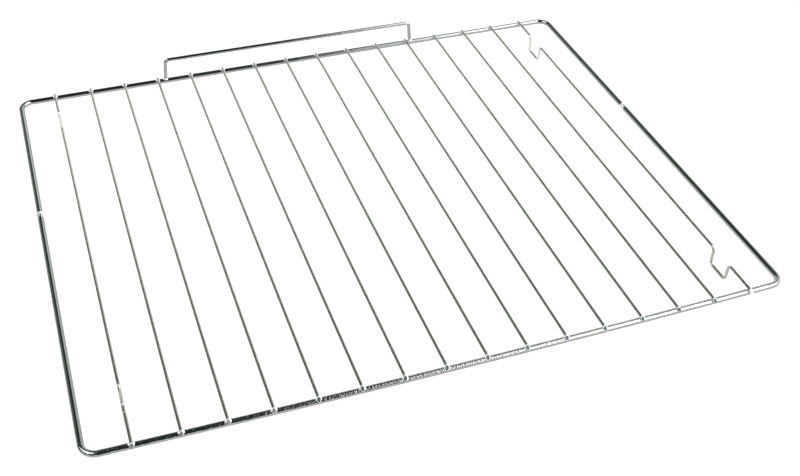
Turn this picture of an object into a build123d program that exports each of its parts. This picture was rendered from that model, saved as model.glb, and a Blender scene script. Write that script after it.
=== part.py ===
"""Chromed steel wire rack for a kitchen oven.

A thick round wire, bent into two U-shaped halves and butt-welded end to end at the sides,
makes the frame. Its front and back rails bow out slightly. Sixteen thin wires run from front
to back and are welded on top of it. The outermost two dip down in a U near each end: the dips
stop the rack on its runners, and it stands on them. A third wire, bent to a low hoop, is welded
upright on the back of the frame and keeps a tray from sliding off.

X runs along the front from left to right, Y towards the back and Z up. The origin is the
middle of the rack, on the surface that the dips stand on.
"""
import os
from math import asin, cos, degrees, radians, sin, sqrt

from build123d import *

# Frame
frame_width = 465.0  # outside, from side to side
frame_depth = 375.4  # outside, from front to back, at the middle of the rails
frame_wire = 4.0  # diameter
frame_corner_radius = 9.0  # at the middle of the wire
front_bow = 2.5  # how much further out the front rail's middle stands than its ends
back_bow = 0.7  # the same for the back rail
seam_y = 38.0  # where the two halves meet
seam_swell = 0.45  # how far the upset metal stands out of the wire at the seam
seam_length = 6.4  # length of the upset, both halves together
seam_ridge = 0.8  # width of the ridge left in the middle of the upset

# Cross wires
cross_wire = 2.0  # diameter
cross_count = 14  # plain ones, without the two that dip
dipped_inset = 27.0  # from the middle of the frame's side to the dipped wire
dipped_gap = 28.0  # from the dipped wire to the first plain one
front_overhang = 0.8  # how far the cut ends pass the front rail's axis, at the rail's middle
back_overhang = 0.2  # the same at the back
cross_bevel = 45.0  # slant of the cut at the front end, in degrees from square
cross_edge = 0.25  # broken edge at the back end
weld_sink = 0.4  # how far a cross wire is pressed into the rail

# Dips in the outermost wires
dip_depth = 13.4  # drop of the wire's middle
dip_width = 18.2  # from the middle of one leg to the middle of the other
front_dip_reach = 150.0  # from the middle of the rack to the middle of a front dip
back_dip_reach = 149.0  # the same for a back dip
dip_bend_radius = 3.5  # at the middle of the wire

# Back stop
stop_wire = 2.9  # diameter
stop_height = 19.0  # from the middle of the rail to the middle of the bar
stop_bend_radius = 3.3  # at the middle of the wire
stop_splay = 1.6  # how much further out a foot stands than the top of its leg
stop_left_count = 3  # plain wires to the left of the left foot
stop_left_gap = 6.3  # from the middle of the last of them to the middle of the foot
stop_right_count = 11  # plain wires to the left of the right foot
stop_right_gap = 4.4  # from the middle of the last of them to the middle of the foot

# Metal squeezed out at a weld, as a bead along the top of the rail
cross_bead_reach = 0.9  # beyond the side of a cross wire
cross_bead_height = 0.75  # above the rail
stop_bead_reach = 0.9  # beyond the side of a foot of the back stop
stop_bead_height = 0.9

# Places that follow from the sizes
rail_x = (frame_width - frame_wire) / 2
rail_y = (frame_depth - frame_wire) / 2
front_sweep = (rail_x**2 + front_bow**2) / (2 * front_bow)  # radius of the bowed rail
back_sweep = (rail_x**2 + back_bow**2) / (2 * back_bow)
cross_axis_z = cross_wire / 2 + dip_depth
frame_axis_z = cross_axis_z - (cross_wire + frame_wire) / 2 + weld_sink
frame_top_z = frame_axis_z + frame_wire / 2
dipped_x = rail_x - dipped_inset
cross_pitch = 2 * (dipped_x - dipped_gap) / (cross_count - 1)
cross_x = [(i - (cross_count - 1) / 2) * cross_pitch for i in range(cross_count)]

os.makedirs("parts", exist_ok=True)


def finish(piece, name):
    """Gives a piece its name and writes it."""
    piece.part.label = name
    export_step(piece.part, f"parts/{name}.step")


def front_rail(x):
    """Where the front rail's axis lies at x, and how far it is turned there, in degrees."""
    return front_sweep - rail_y - sqrt(front_sweep**2 - x**2), degrees(asin(x / front_sweep))


def back_rail(x):
    """The same for the back rail."""
    return rail_y - back_sweep + sqrt(back_sweep**2 - x**2), -degrees(asin(x / back_sweep))


def wire_along(route, diameter):
    """Draws a round wire along a route, inside the part that is open."""
    with BuildSketch(Plane(origin=route @ 0, z_dir=route % 0)) as section:
        Circle(diameter / 2)
    sweep(section.sketch, path=route)


def seam_upset(x, inward):
    """Swells the end of a frame arm up to the ridge at the seam.

    inward is the way along Y from the seam into the arm, 1 or -1.
    """
    wire_radius = frame_wire / 2
    ridge_radius = wire_radius + seam_swell
    ridge_y = seam_y + inward * seam_ridge / 2
    start_y = seam_y + inward * seam_length / 2
    with BuildSketch(Plane.XY.offset(frame_axis_z)) as profile:
        with BuildLine():
            flare = TangentArc(
                (x + wire_radius, start_y),
                (x + ridge_radius, ridge_y),
                tangent=(0, -inward),
            )
            Polyline(
                flare @ 1,
                (x + ridge_radius, seam_y),
                (x, seam_y),
                (x, start_y),
                flare @ 0,
            )
        make_face()
    revolve(profile.sketch, axis=Axis((x, 0, frame_axis_z), (0, 1, 0)))


def frame_half(name, middle_y, bow, inward):
    """One U-bent half of the frame: a bowed rail, two round corners and two arms up to the seam."""
    end_y = middle_y - inward * bow
    with BuildPart() as half:
        with BuildLine(Plane.XY.offset(frame_axis_z)) as route:
            Line((-rail_x, seam_y), (-rail_x, end_y))
            ThreePointArc((-rail_x, end_y), (0, middle_y), (rail_x, end_y))
            Line((rail_x, end_y), (rail_x, seam_y))
            corners = [v for v in route.vertices() if abs(v.Y - end_y) < frame_wire / 4]
            fillet(corners, frame_corner_radius)
        wire_along(route.line, frame_wire)
        for x in (-rail_x, rail_x):
            seam_upset(x, inward)
    finish(half, name)


def weld_to_rail(x, rail, wire, bead_reach, bead_height):
    """Seats a wire on the top of a rail.

    Adds the bead of squeezed-out metal, a spindle that lies along the rail at the depth of the
    weld and slopes down into the rail on either side of the wire, then cuts the saddle that fits
    the rail. The cut is a short stretch of the rail's own round, twice as long as the bead.
    """
    y, turn = rail(x)
    along = (cos(radians(turn)), sin(radians(turn)), 0)
    across = (sin(radians(turn)), -cos(radians(turn)), 0)
    weld_z = frame_top_z - weld_sink
    ridge_z = frame_top_z + bead_height
    reach = wire / 2 + bead_reach
    with BuildSketch(Plane((x, y, 0), x_dir=along, z_dir=across)) as profile:
        with BuildLine():
            Polyline(
                (-reach, weld_z),
                (-wire / 2, ridge_z),
                (wire / 2, ridge_z),
                (reach, weld_z),
                close=True,
            )
        make_face()
    revolve(profile.sketch, axis=Axis((x, y, weld_z), along))
    with Locations(Location((x, y, frame_axis_z), (0, 0, turn))):
        Cylinder(frame_wire / 2, 4 * reach, rotation=(0, -90, 0), mode=Mode.SUBTRACT)


def welded_cross_wire(name, x, corners, bend_radius):
    """A cross wire through the given corners in Y and Z, cut to length and seated on both rails.

    The front end is sheared off at a slant, the back end is cut square.
    """
    front_end = (-rail_y - front_overhang, cross_axis_z)
    back_end = (rail_y + back_overhang, cross_axis_z)
    spare = (front_end[0] - 2 * cross_wire, cross_axis_z)
    shear_facing = Vector(0, -1, 0).rotate(Axis.X, -cross_bevel)
    shear = Plane((x, *front_end), x_dir=(1, 0, 0), z_dir=shear_facing)
    with BuildPart() as wire:
        with BuildLine(Plane.YZ.offset(x)) as route:
            if corners:
                FilletPolyline(spare, *corners, back_end, radius=bend_radius)
            else:
                Line(spare, back_end)
        wire_along(route.line, cross_wire)
        chamfer(wire.faces().sort_by(Axis.Y)[-1].edges(), cross_edge)
        split(bisect_by=shear, keep=Keep.BOTTOM)
        for rail in (front_rail, back_rail):
            weld_to_rail(x, rail, cross_wire, cross_bead_reach, cross_bead_height)
    finish(wire, name)


# Two halves of the frame
frame_half("frame_front", -rail_y, front_bow, -1)
frame_half("frame_rear", rail_y, back_bow, 1)

# Plain cross wires, from left to right
for i, x in enumerate(cross_x):
    welded_cross_wire(f"cross_wire_{i + 1:02d}", x, [], 0)

# Outermost cross wires, each with a dip near either end
low_z = cross_axis_z - dip_depth
dip_corners = []
for middle in (-front_dip_reach, back_dip_reach):
    near_y = middle - dip_width / 2
    far_y = middle + dip_width / 2
    dip_corners += [(near_y, cross_axis_z), (near_y, low_z), (far_y, low_z), (far_y, cross_axis_z)]
welded_cross_wire("dipped_wire_left", -dipped_x, dip_corners, dip_bend_radius)
welded_cross_wire("dipped_wire_right", dipped_x, dip_corners, dip_bend_radius)

# Back stop, upright on the back rail
left_foot_x = cross_x[stop_left_count - 1] + stop_left_gap
right_foot_x = cross_x[stop_right_count - 1] + stop_right_gap
stop_y = (back_rail(left_foot_x)[0] + back_rail(right_foot_x)[0]) / 2
with BuildPart() as back_stop:
    with BuildLine(Plane.XZ.offset(-stop_y)) as stop_route:
        FilletPolyline(
            (left_foot_x, frame_axis_z),
            (left_foot_x + stop_splay, frame_axis_z + stop_height),
            (right_foot_x - stop_splay, frame_axis_z + stop_height),
            (right_foot_x, frame_axis_z),
            radius=stop_bend_radius,
        )
    wire_along(stop_route.line, stop_wire)
    for x in (left_foot_x, right_foot_x):
        weld_to_rail(x, back_rail, stop_wire, stop_bead_reach, stop_bead_height)
finish(back_stop, "back_stop")
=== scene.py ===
"""Looks of a chromed steel wire rack for a kitchen oven.

X runs along the front from left to right, Y towards the back and Z up, in metres. The rack
stands on the dips of its two outermost wires, on the plane Z = 0.
"""
import math

import bpy
from mathutils import Matrix, Vector


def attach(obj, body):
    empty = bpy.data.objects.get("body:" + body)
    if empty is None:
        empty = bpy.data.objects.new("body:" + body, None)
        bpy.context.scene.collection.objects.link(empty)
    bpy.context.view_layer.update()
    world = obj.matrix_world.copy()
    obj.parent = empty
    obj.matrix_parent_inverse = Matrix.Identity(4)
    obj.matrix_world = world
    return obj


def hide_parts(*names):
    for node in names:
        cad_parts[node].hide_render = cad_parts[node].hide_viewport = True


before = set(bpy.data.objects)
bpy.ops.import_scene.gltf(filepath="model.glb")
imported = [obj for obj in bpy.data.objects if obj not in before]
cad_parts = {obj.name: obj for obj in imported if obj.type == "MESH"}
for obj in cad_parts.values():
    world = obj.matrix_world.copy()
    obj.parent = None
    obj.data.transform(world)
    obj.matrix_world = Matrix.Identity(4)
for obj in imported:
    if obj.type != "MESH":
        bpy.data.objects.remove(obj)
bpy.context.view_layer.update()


# Frame
# The frame is a 4 mm steel wire, bent into two U-shaped halves whose rails bow out slightly.
# Their ends are pressed together hot and welded, which leaves a swollen collar with a ridge on
# either side. The whole rack is plated in one go afterwards, so it is bright chrome all over.
mm = 0.001
rail_wire = 4.0 * mm
rail_radius = rail_wire / 2
rail_x = 230.5 * mm  # from the middle of the rack to the axis of its sides
rail_y = 185.7 * mm  # the same for the front and back rails, at their middles
rail_z = 11.8 * mm
rail_top = rail_z + rail_radius
front_bow = 2.5 * mm  # how much further out the front rail's middle stands than its ends
back_bow = 0.7 * mm
bow_steps = 40
corner_radius = 9.0 * mm
corner_steps = 24
rail_round_steps = 48
seam_y = 38.0 * mm
collar_swell = 0.45 * mm
collar_length = 3.2 * mm  # from the seam to where the wire is plain again
collar_ridge = 0.4 * mm  # half the width of the ridge
collar_steps = 12
collar_weld_highlight = 2.9 * mm  # how far the weld metal, painted pale as a highlight, reaches from the seam
flat_end = 0.001 * mm  # what is nearer to the end of a wire than this is its cut face


def add_node(tree, kind, **settings):
    """Adds a node to a tree and sets its own settings."""
    node = tree.nodes.new(kind)
    for name, value in settings.items():
        setattr(node, name, value)
    return node


def math_node(tree, operation, a, b=0.0):
    """Adds a maths node; a and b are sockets or numbers."""
    node = add_node(tree, "ShaderNodeMath", operation=operation)
    for socket, value in zip(node.inputs, (a, b)):
        if isinstance(value, bpy.types.NodeSocket):
            tree.links.new(value, socket)
        else:
            socket.default_value = value
    return node.outputs[0]


def new_tree(name, wanted, made):
    """A tree of geometry nodes with the wanted inputs; gives the tree and its sockets inside."""
    tree = bpy.data.node_groups.new(name, "GeometryNodeTree")
    for label, kind in wanted:
        tree.interface.new_socket(label, in_out="INPUT", socket_type="NodeSocket" + kind)
    tree.interface.new_socket(made, in_out="OUTPUT", socket_type="NodeSocketGeometry")
    given = add_node(tree, "NodeGroupInput").outputs
    result = add_node(tree, "NodeGroupOutput").inputs[made]
    return tree, given, result


def store_straight(tree, geometry, place):
    """Keeps a place with every point, which the look of the metal follows."""
    store = add_node(tree, "GeometryNodeStoreNamedAttribute", data_type="FLOAT_VECTOR")
    store.domain = "POINT"
    store.inputs["Name"].default_value = "straight_wire"
    tree.links.new(geometry, store.inputs["Geometry"])
    tree.links.new(place, store.inputs["Value"])
    return store.outputs["Geometry"]


def set_metal(tree, geometry, metal, chosen=None):
    """Gives a metal to a whole mesh, or to the chosen part of it."""
    node = add_node(tree, "GeometryNodeSetMaterial")
    tree.links.new(geometry, node.inputs["Geometry"])
    tree.links.new(metal, node.inputs["Material"])
    if chosen is not None:
        tree.links.new(chosen, node.inputs["Selection"])
    return node.outputs["Geometry"]


def bent_wire_tree():
    """Node tree that lays a round wire along a route of edges.

    The ends can swell into a collar, have their edges broken, or be sheared off at a slant at
    the front. Each point keeps where it lay in the wire while that was still straight.
    """
    tree, given, result = new_tree("bent_wire", [
        ("Route", "Geometry"),
        ("Wire radius", "Float"),
        ("Round steps", "Int"),
        ("Collar swell", "Float"),
        ("Collar length", "Float"),
        ("Collar ridge", "Float"),
        ("Edge break", "Float"),
        ("Shear length", "Float"),
        ("Shear height", "Float"),
        ("Metal", "Material"),
        ("End length", "Float"),
        ("End metal", "Material"),
        ("Cut metal", "Material"),
    ], "Wire")
    link = tree.links.new
    curve = add_node(tree, "GeometryNodeMeshToCurve")
    link(given["Route"], curve.inputs["Mesh"])

    # Distance along the wire, and to the nearer of its ends
    along = add_node(tree, "GeometryNodeSplineParameter").outputs["Length"]
    whole = add_node(tree, "GeometryNodeSplineLength").outputs["Length"]
    to_end = math_node(tree, "MINIMUM", along, math_node(tree, "SUBTRACT", whole, along))
    kept = add_node(tree, "GeometryNodeCaptureAttribute", domain="POINT")
    kept.capture_items.new("FLOAT", "along")
    kept.capture_items.new("FLOAT", "to_end")
    link(curve.outputs["Curve"], kept.inputs["Geometry"])
    link(along, kept.inputs["along"])
    link(to_end, kept.inputs["to_end"])

    # Radius: an arc that rises to the collar's ridge, less the broken edge at the very end
    past_ridge = math_node(tree, "SUBTRACT", to_end, given["Collar ridge"])
    slope = math_node(tree, "SUBTRACT", given["Collar length"], given["Collar ridge"])
    share = math_node(tree, "DIVIDE", past_ridge, slope)
    share = math_node(tree, "MINIMUM", math_node(tree, "MAXIMUM", share, 0.0), 1.0)
    rise = math_node(tree, "POWER", math_node(tree, "SUBTRACT", 1.0, share), 2.0)
    swell = math_node(tree, "MULTIPLY", rise, given["Collar swell"])
    into_edge = math_node(tree, "SUBTRACT", given["Edge break"], to_end)
    into_edge = math_node(tree, "MAXIMUM", into_edge, 0.0)
    edge_square = math_node(tree, "MULTIPLY", given["Edge break"], given["Edge break"])
    in_square = math_node(tree, "MULTIPLY", into_edge, into_edge)
    kept_edge = math_node(tree, "SQRT", math_node(tree, "SUBTRACT", edge_square, in_square))
    lost = math_node(tree, "SUBTRACT", given["Edge break"], kept_edge)
    radius = math_node(tree, "ADD", given["Wire radius"], swell)
    radius = math_node(tree, "SUBTRACT", radius, lost)

    section = add_node(tree, "GeometryNodeCurvePrimitiveCircle", mode="RADIUS")
    section.inputs["Radius"].default_value = 1.0
    link(given["Round steps"], section.inputs["Resolution"])
    place = add_node(tree, "GeometryNodeInputPosition").outputs["Position"]
    round_place = add_node(tree, "GeometryNodeCaptureAttribute", domain="POINT")
    round_place.capture_items.new("VECTOR", "round")
    link(section.outputs["Curve"], round_place.inputs["Geometry"])
    link(place, round_place.inputs["round"])

    skin = add_node(tree, "GeometryNodeCurveToMesh")
    skin.inputs["Fill Caps"].default_value = True
    link(kept.outputs["Geometry"], skin.inputs["Curve"])
    link(round_place.outputs["Geometry"], skin.inputs["Profile Curve"])
    link(radius, skin.inputs["Scale"])

    # Straight-wire place of every point: across in X and Y, along in Z
    split_round = add_node(tree, "ShaderNodeSeparateXYZ")
    link(round_place.outputs["round"], split_round.inputs[0])
    straight = add_node(tree, "ShaderNodeCombineXYZ")
    for axis in "XY":
        across = math_node(tree, "MULTIPLY", split_round.outputs[axis], given["Wire radius"])
        link(across, straight.inputs[axis])
    link(kept.outputs["along"], straight.inputs["Z"])
    stored = store_straight(tree, skin.outputs["Mesh"], straight.outputs["Vector"])

    # Slanted cut: the end's points slide along the wire by their height over its middle
    here = add_node(tree, "ShaderNodeSeparateXYZ")
    link(add_node(tree, "GeometryNodeInputPosition").outputs["Position"], here.inputs[0])
    at_end = math_node(tree, "LESS_THAN", kept.outputs["to_end"], given["Shear length"])
    in_front = math_node(tree, "LESS_THAN", here.outputs["Y"], 0.0)
    slides = math_node(tree, "MULTIPLY", at_end, in_front)
    over = math_node(tree, "SUBTRACT", here.outputs["Z"], given["Shear height"])
    slide = add_node(tree, "ShaderNodeCombineXYZ")
    link(math_node(tree, "MULTIPLY", over, slides), slide.inputs["Y"])
    cut = add_node(tree, "GeometryNodeSetPosition")
    link(stored, cut.inputs["Geometry"])
    link(slide.outputs["Vector"], cut.inputs["Offset"])

    smooth = add_node(tree, "GeometryNodeSetShadeSmooth")
    whole_mesh = add_node(tree, "GeometryNodeRealizeInstances")
    link(cut.outputs["Geometry"], smooth.inputs["Geometry"])
    link(smooth.outputs["Geometry"], whole_mesh.inputs["Geometry"])

    # Only the flat cut faces have all their points at the very end
    near_end = math_node(tree, "LESS_THAN", kept.outputs["to_end"], given["End length"])
    very_end = math_node(tree, "LESS_THAN", kept.outputs["to_end"], flat_end)
    plated = set_metal(tree, whole_mesh.outputs["Geometry"], given["Metal"])
    plated = set_metal(tree, plated, given["End metal"], near_end)
    plated = set_metal(tree, plated, given["Cut metal"], very_end)
    link(plated, result)
    return tree


def run_tree(obj, tree, values):
    """Runs a node tree on an object and keeps the outcome as the object's own plain mesh."""
    modifier = obj.modifiers.new(tree.name, "NODES")
    modifier.node_group = tree
    for item in tree.interface.items_tree:
        if item.item_type == "SOCKET" and item.in_out == "INPUT" and item.name in values:
            modifier[item.identifier] = values[item.name]
    bpy.context.view_layer.update()
    made = obj.evaluated_get(bpy.context.evaluated_depsgraph_get())
    mesh = bpy.data.meshes.new_from_object(made)
    rough = obj.data
    obj.modifiers.remove(modifier)
    obj.data = mesh
    mesh.name = obj.name
    bpy.data.meshes.remove(rough)


def new_object(name, points, edges=(), faces=()):
    """A new mesh object at the origin."""
    mesh = bpy.data.meshes.new(name)
    mesh.from_pydata(points, edges, faces)
    obj = bpy.data.objects.new(name, mesh)
    bpy.context.scene.collection.objects.link(obj)
    return obj


def route_object(name, routes):
    """An object that holds one or more routes of straight edges."""
    points = []
    edges = []
    for route in routes:
        first = len(points)
        points += route
        edges += [(i, i + 1) for i in range(first, len(points) - 1)]
    return new_object(name, points, edges)


def bend(corner, before, after, radius, steps):
    """Points of the round bend at a corner of a route between the two points next to it."""
    corner = Vector(corner)
    back = (Vector(before) - corner).normalized()
    forth = (Vector(after) - corner).normalized()
    half_turn = (math.pi - back.angle(forth)) / 2
    start = corner + back * radius * math.tan(half_turn)
    centre = corner + (back + forth).normalized() * radius / math.cos(half_turn)
    out = start - centre
    points = []
    for i in range(steps + 1):
        turn = 2 * half_turn * i / steps
        points.append(tuple(centre + out * math.cos(turn) - back * radius * math.sin(turn)))
    return points


def bent_route(corners, radius, steps):
    """A route through corners that are all bent to the same radius."""
    points = [corners[0]]
    for i in range(1, len(corners) - 1):
        points += bend(corners[i], corners[i - 1], corners[i + 1], radius, steps)
    return points + [corners[-1]]


def new_metal(name):
    """A plain metal; gives the material, its node tree and the inputs of its shader."""
    material = bpy.data.materials.new(name)
    material.use_nodes = True
    tree = material.node_tree
    shader = tree.nodes["Principled BSDF"].inputs
    shader["Metallic"].default_value = 1.0
    return material, tree, shader


def noise(tree, place, scale, detail):
    """Adds a noise over a place and gives its value, which keeps near 0.5."""
    node = add_node(tree, "ShaderNodeTexNoise")
    node.inputs["Scale"].default_value = scale
    node.inputs["Detail"].default_value = detail
    tree.links.new(place, node.inputs["Vector"])
    return node.outputs["Fac"]


def ranged(tree, value, low, high, at_low, at_high):
    """Goes evenly from at_low where a value is low to at_high where it is high."""
    node = add_node(tree, "ShaderNodeMapRange")
    node.inputs["From Min"].default_value = low
    node.inputs["From Max"].default_value = high
    node.inputs["To Min"].default_value = at_low
    node.inputs["To Max"].default_value = at_high
    tree.links.new(value, node.inputs["Value"])
    return node.outputs["Result"]


def colour_ramp(tree, value, stops):
    """Adds a ramp that goes with a value from 0 to 1 through colours at given places."""
    node = add_node(tree, "ShaderNodeValToRGB")
    while len(node.color_ramp.elements) < len(stops):
        node.color_ramp.elements.new(0.5)
    for stop, (place, colour) in zip(node.color_ramp.elements, stops):
        stop.position = place
        stop.color = (*colour, 1.0)
    tree.links.new(value, node.inputs["Fac"])
    return node


def bump(tree, height, distance):
    """Adds a bump of so much distance, for a height from 0 to 1."""
    node = add_node(tree, "ShaderNodeBump")
    node.inputs["Distance"].default_value = distance
    tree.links.new(height, node.inputs["Height"])
    return node


def chrome(name, tint, bright_rough, dull_rough, grain_height, painted_front_shade=0.0):
    """Chrome on drawn wire: patchy haze, fine drawing lines and a slightly grainy skin.

    The grain is coarsest on the front rail. The last argument is the share of its brightness that
    is
    taken off towards the front of the rack: painted shade, darker towards the front.
    """
    glancing = 0.5  # how bright the metal stays at a glancing angle
    hazy_share = 0.92  # brightness of the hazy patches
    fine_grain = 0.15  # grain away from the front rail, as a share of that on it
    line_density = (5200.0, 5200.0, 60.0)  # across the wire, and along it
    line_height = 0.01 * mm
    material, tree, shader = new_metal(name)
    link = tree.links.new
    shader["Specular Tint"].default_value = (glancing, glancing, glancing, 1.0)
    straight = add_node(tree, "ShaderNodeAttribute", attribute_name="straight_wire")
    straight = straight.outputs["Vector"]
    place = add_node(tree, "ShaderNodeSeparateXYZ")
    link(add_node(tree, "ShaderNodeTexCoord").outputs["Object"], place.inputs[0])
    to_back = place.outputs["Y"]

    haze = noise(tree, straight, scale=140.0, detail=3.0)
    link(ranged(tree, haze, 0.35, 0.75, bright_rough, dull_rough), shader["Roughness"])
    hazy_tint = tuple(hazy_share * c for c in tint)
    shade = colour_ramp(tree, haze, [(0.3, hazy_tint), (0.7, tint)])
    # Painted shade: the base colour darkens towards the front of the rack by the given share.
    kept = ranged(tree, to_back, -rail_y, rail_y, 1.0 - painted_front_shade, 1.0)
    front_shaded = add_node(tree, "ShaderNodeVectorMath", operation="SCALE")
    link(shade.outputs["Color"], front_shaded.inputs["Vector"])
    link(kept, front_shaded.inputs["Scale"])
    link(front_shaded.outputs["Vector"], shader["Base Color"])

    grain = noise(tree, straight, scale=1000.0, detail=1.0)
    skin = bump(tree, grain, grain_height)
    coarse_end = -rail_y + corner_radius
    fine_start = -rail_y + 4 * corner_radius
    link(ranged(tree, to_back, coarse_end, fine_start, 1.0, fine_grain), skin.inputs["Strength"])

    lines_at = add_node(tree, "ShaderNodeMapping")
    lines_at.inputs["Scale"].default_value = line_density
    link(straight, lines_at.inputs["Vector"])
    drawn = noise(tree, lines_at.outputs["Vector"], scale=1.0, detail=2.0)
    lines = bump(tree, drawn, line_height)
    lines.inputs["Strength"].default_value = 0.12
    link(skin.outputs["Normal"], lines.inputs["Normal"])
    link(lines.outputs["Normal"], shader["Normal"])
    return material


def dull_metal(name, painted_light_along_x, roughness):
    """Metal at a cut or a weld, uneven in random patches, with light and shade painted along X.

    Its colours are given at places along X, from the left side of the rack to the right: painted
    light and shade, not a change in the metal.
    """
    patch_share = 0.12  # how far the patches move the shade along the shades
    dent_depth = 0.02 * mm
    rough_least, rough_most = 0.8 * roughness, 1.2 * roughness
    material, tree, shader = new_metal(name)
    link = tree.links.new
    place = add_node(tree, "ShaderNodeTexCoord").outputs["Object"]
    across = add_node(tree, "ShaderNodeSeparateXYZ")
    link(place, across.inputs[0])
    patches = noise(tree, place, scale=900.0, detail=2.0)
    patchy = math_node(tree, "SUBTRACT", patches, 0.5)
    patchy = math_node(tree, "MULTIPLY", patchy, patch_share)
    share = ranged(tree, across.outputs["X"], -rail_x, rail_x, 0.0, 1.0)
    # Painted light and shade: the colour follows X across the rack.
    stops = [((x + rail_x) / (2 * rail_x), colour) for x, colour in painted_light_along_x]
    shade = colour_ramp(tree, math_node(tree, "ADD", share, patchy), stops)
    link(shade.outputs["Color"], shader["Base Color"])
    link(ranged(tree, patches, 0.0, 1.0, rough_least, rough_most), shader["Roughness"])
    dents = bump(tree, patches, dent_depth)
    dents.inputs["Strength"].default_value = 0.5
    link(dents.outputs["Normal"], shader["Normal"])
    return material


bent_wire = bent_wire_tree()
frame_tint = (0.375, 0.39, 0.378)
front_look = {"bright_rough": 0.06, "dull_rough": 0.12, "grain_height": 0.16 * mm}
rear_look = {"bright_rough": 0.07, "dull_rough": 0.14, "grain_height": 0.08 * mm}
front_metal = chrome("front_chrome", frame_tint, **front_look)
rear_metal = chrome("rear_chrome", frame_tint, **rear_look)
# Painted highlight: the weld metal is far paler than the chrome, and paler still on the right,
# where the light falls; its roughness is the weld's own.
weld_painted_highlight_left = (0.78, 0.79, 0.78)
weld_painted_highlight_right = (0.86, 0.865, 0.86)
weld_painted_light = [(-rail_x, weld_painted_highlight_left), (rail_x, weld_painted_highlight_right)]
weld_metal = dull_metal("weld_chrome", weld_painted_light, roughness=0.3)


def collar_points(x, way):
    """Route points down an arm of the frame from the seam to the end of its collar."""
    steps = [0.0, collar_ridge / 2, collar_ridge]
    rest = collar_length - collar_ridge
    steps += [collar_ridge + rest * (i / collar_steps) for i in range(1, collar_steps + 1)]
    return [(x, seam_y + way * step, rail_z) for step in steps]


def front_rail(x):
    """Y of the front rail's axis at x."""
    return front_bow * (x / rail_x) ** 2 - rail_y


def back_rail(x):
    """Y of the back rail's axis at x."""
    return rail_y - back_bow * (x / rail_x) ** 2


def frame_half(name, rail, way, metal, node):
    """One half of the frame, from seam to seam round its bowed rail."""
    bowed = []
    for i in range(bow_steps + 1):
        x = rail_x * (2 * i / bow_steps - 1)
        bowed.append((x, rail(x), rail_z))
    left = collar_points(-rail_x, way)
    right = collar_points(rail_x, way)
    first = bend(bowed[0], left[-1], bowed[1], corner_radius, corner_steps)
    last = bend(bowed[-1], bowed[-2], right[-1], corner_radius, corner_steps)
    half = route_object(name, [left + first + bowed[2:-2] + last + right[::-1]])
    run_tree(half, bent_wire, {
        "Wire radius": rail_radius,
        "Round steps": rail_round_steps,
        "Collar swell": collar_swell,
        "Collar length": collar_length,
        "Collar ridge": collar_ridge,
        "Metal": metal,
        "End length": collar_weld_highlight,
        "End metal": weld_metal,
        "Cut metal": weld_metal,
    })
    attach(half, "root")
    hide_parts(node)


frame_half("front_half", front_rail, -1, front_metal, "frame_front")
frame_half("rear_half", back_rail, 1, rear_metal, "frame_rear")


# Cross wires
# Fourteen straight 2 mm wires lie on the frame from front to back, 27 mm apart, pressed a little
# into the rails and spot-welded there. The squeezed-out metal sets as a small round bead. The
# front ends are sheared off at a slant, the back ends square, and both are spread by the shears.
thin_wire = 2.0 * mm
thin_radius = thin_wire / 2
thin_z = 14.4 * mm
thin_count = 14
thin_pitch = 27.0 * mm
thin_round_steps = 32
front_overhang = 0.8 * mm  # how far the ends pass the axis of the rail, at its middle
back_overhang = 0.2 * mm
front_end = -rail_y - front_overhang
back_end = rail_y + back_overhang
end_break = 0.25 * mm
end_break_steps = (0.0, 0.08, 0.3, 0.6, 1.0)
end_spread = 0.32 * mm
end_spread_length = 1.4 * mm
end_spread_steps = 6
end_painted_highlight = 1.0 * mm  # how far the pale metal, a painted highlight round the cut, reaches from it
shear_length = 1.5 * mm  # what is nearer to the front end than this slides to the slanted cut
plain_start = 3.0 * mm  # from the end to where the wire is plain and straight again
plain_hold = 0.2 * mm  # from there to the next ring, which keeps it straight

wire_tint = (0.72, 0.73, 0.685)
# Painted shade: the wires' colour darkens towards the front of the rack.
wire_look = {"bright_rough": 0.25, "dull_rough": 0.33, "grain_height": 0.03 * mm, "painted_front_shade": 0.42}
wire_metal = chrome("wire_chrome", wire_tint, **wire_look)
# Painted light and shade: the cut faces are pale at the outer wires on the left and at the
# rightmost wire, and dark in between, darker towards the right.
cut_painted_highlight = (0.5, 0.51, 0.5)
cut_painted_shade = (0.1, 0.125, 0.14)
cut_metal = dull_metal("cut_steel", [
    (-140 * mm, cut_painted_highlight),
    (-100 * mm, cut_painted_shade),
    (60 * mm, tuple(0.7 * c for c in cut_painted_shade)),
    (180 * mm, tuple(0.5 * c for c in cut_painted_shade)),
    (200 * mm, cut_painted_highlight),
], roughness=0.35)


def end_points(place, way, x):
    """Route points from a wire's end inwards, for its broken edge and its slanted cut."""
    steps = [share * end_break for share in end_break_steps]
    rest = end_spread_length - end_break
    steps += [end_break + rest * i / end_spread_steps for i in range(1, end_spread_steps + 1)]
    steps += [plain_start, plain_start + plain_hold]
    return [(x, place + way * step, thin_z) for step in steps]


def thin_route(x, bends=()):
    """Route of a cross wire from its front end to its back end, by way of its bends."""
    front = end_points(front_end, 1, x)
    back = end_points(back_end, -1, x)
    return front + list(bends) + back[::-1]


thin_values = {
    "Wire radius": thin_radius,
    "Round steps": thin_round_steps,
    "Collar swell": end_spread,
    "Collar length": end_spread_length,
    "Edge break": end_break,
    "Shear length": shear_length,
    "Shear height": thin_z,
    "Metal": wire_metal,
    "End length": end_painted_highlight,
    "End metal": weld_metal,
    "Cut metal": cut_metal,
}

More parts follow.
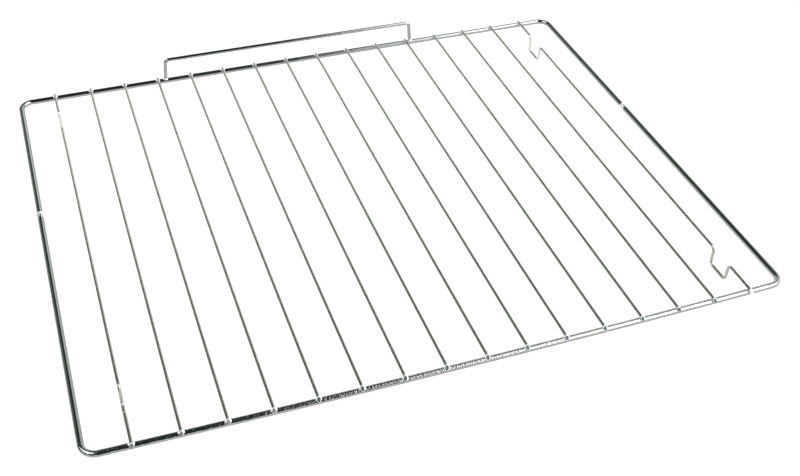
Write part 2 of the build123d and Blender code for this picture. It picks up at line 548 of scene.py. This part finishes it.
bead_side = 2.0 * mm  # reach of a bead along the rail
bead_cross = 1.93 * mm  # reach across the rail, down its round
bead_top_outer = 1.3 * mm  # reach of its upper edge along the wire, towards the wire's end
bead_top_inner = 0.75 * bead_cross  # the same away from the wire's end
bead_grip = 0.985  # share of the wire's width at which the upper edge meets the wire
bead_bulge = 0.5  # 0 would be a hollow fillet and 1 a full swelling
bead_sunk = 0.02 * mm  # how far the foot lies under the rail's skin
bead_core = 0.8 * mm  # how deep inside the rail the bead closes
bead_around = 40
bead_up = 6
bead_least = 0.94  # shares of the reach along the rail, which differs from weld to weld
bead_most = 1.1
bead_seed = 4


def rail_skin(y):
    """Height of the rail's skin at y from its axis, from the top of the rail."""
    return math.sqrt(rail_radius ** 2 - y ** 2) - rail_radius


def bead_skin(sides):
    """Points and faces round a bead, on arcs that each have a foot, a middle and a top."""
    points = []
    for foot, middle, top in sides:
        for j in range(bead_up + 1):
            t = j / bead_up
            spot = (1 - t) ** 2 * foot + 2 * t * (1 - t) * middle + t ** 2 * top
            points.append(tuple(spot))
    row = bead_up + 1
    faces = []
    for i in range(bead_around):
        k = (i + 1) % bead_around
        for j in range(bead_up):
            faces.append((i * row + j, k * row + j, k * row + j + 1, i * row + j + 1))
    return points, faces


def cross_bead_mesh(name):
    """The bead of squeezed-out metal round a thin wire that crosses a rail.

    It stands on the rail's round at the origin, the rail along X; +Y is towards the wire's end.
    """
    over_rail = thin_z - rail_top
    sides = []
    for i in range(bead_around):
        turn = 2 * math.pi * i / bead_around
        side = math.cos(turn)
        forth = math.sin(turn)
        top_reach = bead_top_outer if forth > 0 else bead_top_inner
        foot_y = bead_cross * forth
        foot = Vector((bead_side * side, foot_y, rail_skin(foot_y) - bead_sunk))
        top = Vector((bead_grip * thin_radius * side, top_reach * forth, 0.0))
        top.z = over_rail - math.sqrt(thin_radius ** 2 - top.x ** 2)
        hollow = Vector((top.x, top.y, rail_skin(top.y)))
        full = Vector((foot.x, foot.y, top.z))
        sides.append((foot, hollow.lerp(full, bead_bulge), top))
    points, faces = bead_skin(sides)
    row = bead_up + 1
    low = len(points)
    high = low + 1
    points += [(0.0, 0.0, -bead_core), (0.0, 0.0, over_rail)]
    for i in range(bead_around):
        k = (i + 1) % bead_around
        faces.append((k * row, i * row, low))
        faces.append((i * row + bead_up, k * row + bead_up, high))
    return new_object(name, points, (), faces)


def weld_tree():
    """Node tree that sets a bead on every weld point and joins the beads to the wires."""
    tree, given, result = new_tree("welds", [
        ("Wires", "Geometry"),
        ("Weld points", "Object"),
        ("Bead", "Object"),
        ("Metal", "Material"),
    ], "Welded")
    link = tree.links.new
    spots = add_node(tree, "GeometryNodeObjectInfo")
    bead = add_node(tree, "GeometryNodeObjectInfo")
    link(given["Weld points"], spots.inputs["Object"])
    link(given["Bead"], bead.inputs["Object"])

    # The beads at the front are turned to face the front; each is a little longer or shorter
    here = add_node(tree, "ShaderNodeSeparateXYZ")
    link(add_node(tree, "GeometryNodeInputPosition").outputs["Position"], here.inputs[0])
    in_front = math_node(tree, "LESS_THAN", here.outputs["Y"], 0.0)
    turn = add_node(tree, "ShaderNodeCombineXYZ")
    link(math_node(tree, "MULTIPLY", in_front, math.pi), turn.inputs["Z"])
    size = add_node(tree, "FunctionNodeRandomValue", data_type="FLOAT")
    size.inputs[2].default_value = bead_least
    size.inputs[3].default_value = bead_most
    size.inputs["Seed"].default_value = bead_seed
    stretch = add_node(tree, "ShaderNodeCombineXYZ")
    link(size.outputs[1], stretch.inputs["X"])
    stretch.inputs["Y"].default_value = 1.0
    stretch.inputs["Z"].default_value = 1.0
    put = add_node(tree, "GeometryNodeInstanceOnPoints")
    link(spots.outputs["Geometry"], put.inputs["Points"])
    link(bead.outputs["Geometry"], put.inputs["Instance"])
    link(turn.outputs["Vector"], put.inputs["Rotation"])
    link(stretch.outputs["Vector"], put.inputs["Scale"])
    whole = add_node(tree, "GeometryNodeRealizeInstances")
    link(put.outputs["Instances"], whole.inputs["Geometry"])
    smooth = add_node(tree, "GeometryNodeSetShadeSmooth")
    link(whole.outputs["Geometry"], smooth.inputs["Geometry"])

    # A bead has no straight-wire place of its own, so it takes its place in the rack
    in_rack = add_node(tree, "GeometryNodeInputPosition").outputs["Position"]
    stored = store_straight(tree, smooth.outputs["Geometry"], in_rack)
    both = add_node(tree, "GeometryNodeJoinGeometry")
    link(set_metal(tree, stored, given["Metal"]), both.inputs["Geometry"])
    link(given["Wires"], both.inputs["Geometry"])
    link(both.outputs["Geometry"], result)
    return tree


welds = weld_tree()
cross_bead = cross_bead_mesh("cross_bead")


def weld_on(piece, spots, bead):
    """Joins a weld bead to a piece at every spot, given as X and Y on the top of a rail."""
    marks = new_object("weld_marks", [(x, y, rail_top) for x, y in spots])
    run_tree(piece, welds, {"Weld points": marks, "Bead": bead, "Metal": weld_metal})
    bpy.data.objects.remove(marks)


thin_x = [(i - (thin_count - 1) / 2) * thin_pitch for i in range(thin_count)]
plain_wires = route_object("plain_wires", [thin_route(x) for x in thin_x])
run_tree(plain_wires, bent_wire, thin_values)
thin_welds = [(x, rail(x)) for x in thin_x for rail in (front_rail, back_rail)]
weld_on(plain_wires, thin_welds, cross_bead)
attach(plain_wires, "root")
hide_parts(*[f"cross_wire_{i + 1:02d}" for i in range(thin_count)])


# Dipped wires
# The outermost cross wire on either side is the same wire, bent down in a square U near each
# end. The dips catch on the oven's runners, and the rack stands on them when it is out.
dipped_x = 203.5 * mm
dip_depth = 13.4 * mm
dip_width = 18.2 * mm
dip_bend = 3.5 * mm
dip_bend_steps = 16
dip_middles = (-150.0 * mm, 149.0 * mm)
low_z = thin_z - dip_depth

for side, x in (("left", -dipped_x), ("right", dipped_x)):
    corners = [(x, front_end, thin_z)]
    for dip_y in dip_middles:
        near_y = dip_y - dip_width / 2
        far_y = dip_y + dip_width / 2
        corners += [(x, near_y, thin_z), (x, near_y, low_z), (x, far_y, low_z), (x, far_y, thin_z)]
    corners.append((x, back_end, thin_z))
    dips = bent_route(corners, dip_bend, dip_bend_steps)[1:-1]
    dipped = route_object(f"{side}_dipped_wire", [thin_route(x, dips)])
    run_tree(dipped, bent_wire, thin_values)
    weld_on(dipped, [(x, front_rail(x)), (x, back_rail(x))], cross_bead)
    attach(dipped, "root")
    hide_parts(f"dipped_wire_{side}")
bpy.data.objects.remove(cross_bead)


# Tray stop
# A 2.9 mm wire, bent to a low hoop with feet that splay out a little, stands upright on the
# back rail and is welded to its top, so that a tray can't be pushed off the back of the rack.
stop_wire = 2.9 * mm
stop_radius = stop_wire / 2
stop_round_steps = 40
stop_z = 30.8 * mm
stop_y = rail_y - 0.15 * mm  # a little inwards, because the rail is bowed
stop_bend = 3.3 * mm
stop_bend_steps = 20
stop_splay = 1.6 * mm
stop_left = -115.2 * mm
stop_right = 98.9 * mm
foot_side = 0.7 * mm  # reach of the weld's fillet along the rail, from the side of the wire
foot_cross = 0.97 * rail_radius  # reach across the rail, from the middle of the wire
foot_height = 0.9 * mm  # how far it climbs the wire


def foot_fillet_mesh(name):
    """A hollow weld fillet round a wire that stands upright on a rail, with the rail along X."""
    sides = []
    for i in range(bead_around):
        turn = 2 * math.pi * i / bead_around
        side = math.cos(turn)
        forth = math.sin(turn)
        on_wire = Vector((stop_radius * side, stop_radius * forth, foot_height))
        foot = Vector(((stop_radius + foot_side) * side, foot_cross * forth, 0.0))
        foot.z = rail_skin(foot.y) - bead_sunk
        hollow = Vector((on_wire.x, on_wire.y, rail_skin(on_wire.y)))
        sides.append((foot, hollow, on_wire))
    points, faces = bead_skin(sides)
    row = bead_up + 1
    faces.append([i * row for i in range(bead_around)][::-1])
    faces.append([i * row + bead_up for i in range(bead_around)])
    return new_object(name, points, (), faces)


stop_metal = chrome("stop_chrome", frame_tint, **rear_look)
stop_corners = [
    (stop_left, stop_y, rail_z),
    (stop_left + stop_splay, stop_y, stop_z),
    (stop_right - stop_splay, stop_y, stop_z),
    (stop_right, stop_y, rail_z),
]
tray_stop = route_object("tray_stop", [bent_route(stop_corners, stop_bend, stop_bend_steps)])
run_tree(tray_stop, bent_wire, {
    "Wire radius": stop_radius,
    "Round steps": stop_round_steps,
    "Metal": stop_metal,
    "End metal": stop_metal,
    "Cut metal": stop_metal,
})
foot_fillet = foot_fillet_mesh("foot_fillet")
weld_on(tray_stop, [(x, back_rail(x)) for x in (stop_left, stop_right)], foot_fillet)
bpy.data.objects.remove(foot_fillet)
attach(tray_stop, "root")
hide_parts("back_stop")


# Stage
# The rack stands on a wide, plain white floor under soft light from above. The room is dim, with
# a pale backdrop behind. Its bright right side, a light high on the left and a faint one in the
# left corner at the back show in the metal alone.
floor_half = 12.0
floor = new_object(
    "floor",
    [(floor_half * x, floor_half * y, 0) for x, y in ((-1, -1), (1, -1), (1, 1), (-1, 1))],
    (),
    [(0, 1, 2, 3)],
)
floor_paint = bpy.data.materials.new("floor_paint")
floor_paint.use_nodes = True
paint = floor_paint.node_tree
floor_shader = paint.nodes["Principled BSDF"].inputs
floor_shader["Base Color"].default_value = (0.93, 0.93, 0.925, 1.0)
floor_shader["Roughness"].default_value = 0.9
floor_shader["Specular IOR Level"].default_value = 0.0
floor_shader["Emission Color"].default_value = (0.6, 0.6, 0.598, 1.0)
ray = add_node(paint, "ShaderNodeLightPath").outputs
seen = math_node(paint, "MAXIMUM", ray["Is Camera Ray"], ray["Is Glossy Ray"])
seen = math_node(paint, "MAXIMUM", seen, ray["Is Transmission Ray"])
paint.links.new(seen, floor_shader["Emission Strength"])
floor.data.materials.append(floor_paint)

sun_data = bpy.data.lights.new("overhead_light", "SUN")
sun_data.energy = 1.5
sun_data.angle = math.radians(120)
sun = bpy.data.objects.new("overhead_light", sun_data)
sun.rotation_euler = (math.radians(-8), math.radians(10), 0)
sun.visible_glossy = False
bpy.context.scene.collection.objects.link(sun)

world = bpy.data.worlds.new("room")
world.use_nodes = True
bpy.context.scene.world = world
room = world.node_tree
facing = add_node(room, "ShaderNodeSeparateXYZ")
room.links.new(add_node(room, "ShaderNodeTexCoord").outputs["Generated"], facing.inputs[0])
to_right, to_back, to_top = facing.outputs


def soft_step(value, low, high):
    """Goes smoothly from 0 where value is low to 1 where it is high."""
    step = add_node(room, "ShaderNodeMapRange", interpolation_type="SMOOTHSTEP")
    step.inputs["From Min"].default_value = low
    step.inputs["From Max"].default_value = high
    room.links.new(value, step.inputs["Value"])
    return step.outputs["Result"]


def product(*factors):
    """Multiplies values of the room's light."""
    whole = factors[0]
    for factor in factors[1:]:
        whole = math_node(room, "MULTIPLY", whole, factor)
    return whole


def total(*terms):
    """Adds values of the room's light."""
    whole = terms[0]
    for term in terms[1:]:
        whole = math_node(room, "ADD", whole, term)
    return whole


# The backdrop's light at heights from the floor up; its top leans, higher on the right
backdrop_lights = ((0.0, 1.8), (0.24, 1.7), (0.36, 1.1), (0.46, 0.5), (0.62, 0.0))
backdrop_lean = 0.25
height = math_node(room, "SUBTRACT", to_top, product(to_right, backdrop_lean))
backdrop = colour_ramp(room, height, [(place, [level] * 3) for place, level in backdrop_lights])
backdrop.color_ramp.interpolation = "EASE"
to_back_right = total(product(to_right, 0.6), product(to_back, 0.8))
dimmed = math_node(room, "SUBTRACT", 1.0, product(soft_step(to_right, 0.4, 0.6), 0.55))
back_light = product(backdrop.outputs["Color"], soft_step(to_back_right, 0.1, 0.9), dimmed)

# What shows in the metal alone; the right side is bright in front and dim further back
right_front = 3.3
right_rest = 0.3
left_high = 3.0
left_back = 0.4
right_level = total(product(soft_step(to_back, 0.3, -0.1), right_front), right_rest)
right_side = product(soft_step(to_right, 0.2, 0.42), soft_step(to_top, 0.02, 0.2))
right_light = product(right_side, right_level)
left_light = product(
    soft_step(to_right, -0.1, -0.45),
    soft_step(to_back, 0.5, 0.25),
    soft_step(to_back, -0.6, -0.3),
    soft_step(to_top, 0.4, 0.65),
    left_high,
)
left_corner = product(
    soft_step(to_right, -0.3, -0.55),
    soft_step(to_back, 0.55, 0.75),
    soft_step(to_top, 0.2, 0.4),
    left_back,
)
in_metal = add_node(room, "ShaderNodeLightPath").outputs["Is Glossy Ray"]
side_light = product(total(right_light, left_light, left_corner), in_metal)

wall_light = (0.036, 0.052, 0.043)
walls = add_node(room, "ShaderNodeVectorMath", operation="ADD")
room.links.new(total(back_light, side_light), walls.inputs[0])
walls.inputs[1].default_value = wall_light
room.links.new(walls.outputs["Vector"], room.nodes["Background"].inputs["Color"])

camera_place = Vector((-0.20776, -0.5965, 0.50367))
camera_look = Vector((0.27614, 0.7077, -0.6503)).normalized()
camera_up = Vector((0.19909, 0.62019, 0.75877))
camera_data = bpy.data.cameras.new("camera")
camera_data.sensor_fit = "HORIZONTAL"
camera_data.sensor_width = 36.0
camera_data.lens = 49.09
camera = bpy.data.objects.new("camera", camera_data)
bpy.context.scene.collection.objects.link(camera)
camera_right = camera_look.cross(camera_up).normalized()
camera_over = camera_right.cross(camera_look)
turned = Matrix((camera_right, camera_over, -camera_look)).transposed().to_4x4()
camera.matrix_world = Matrix.Translation(camera_place) @ turned
bpy.context.scene.camera = camera
bpy.context.scene.view_settings.view_transform = "Standard"
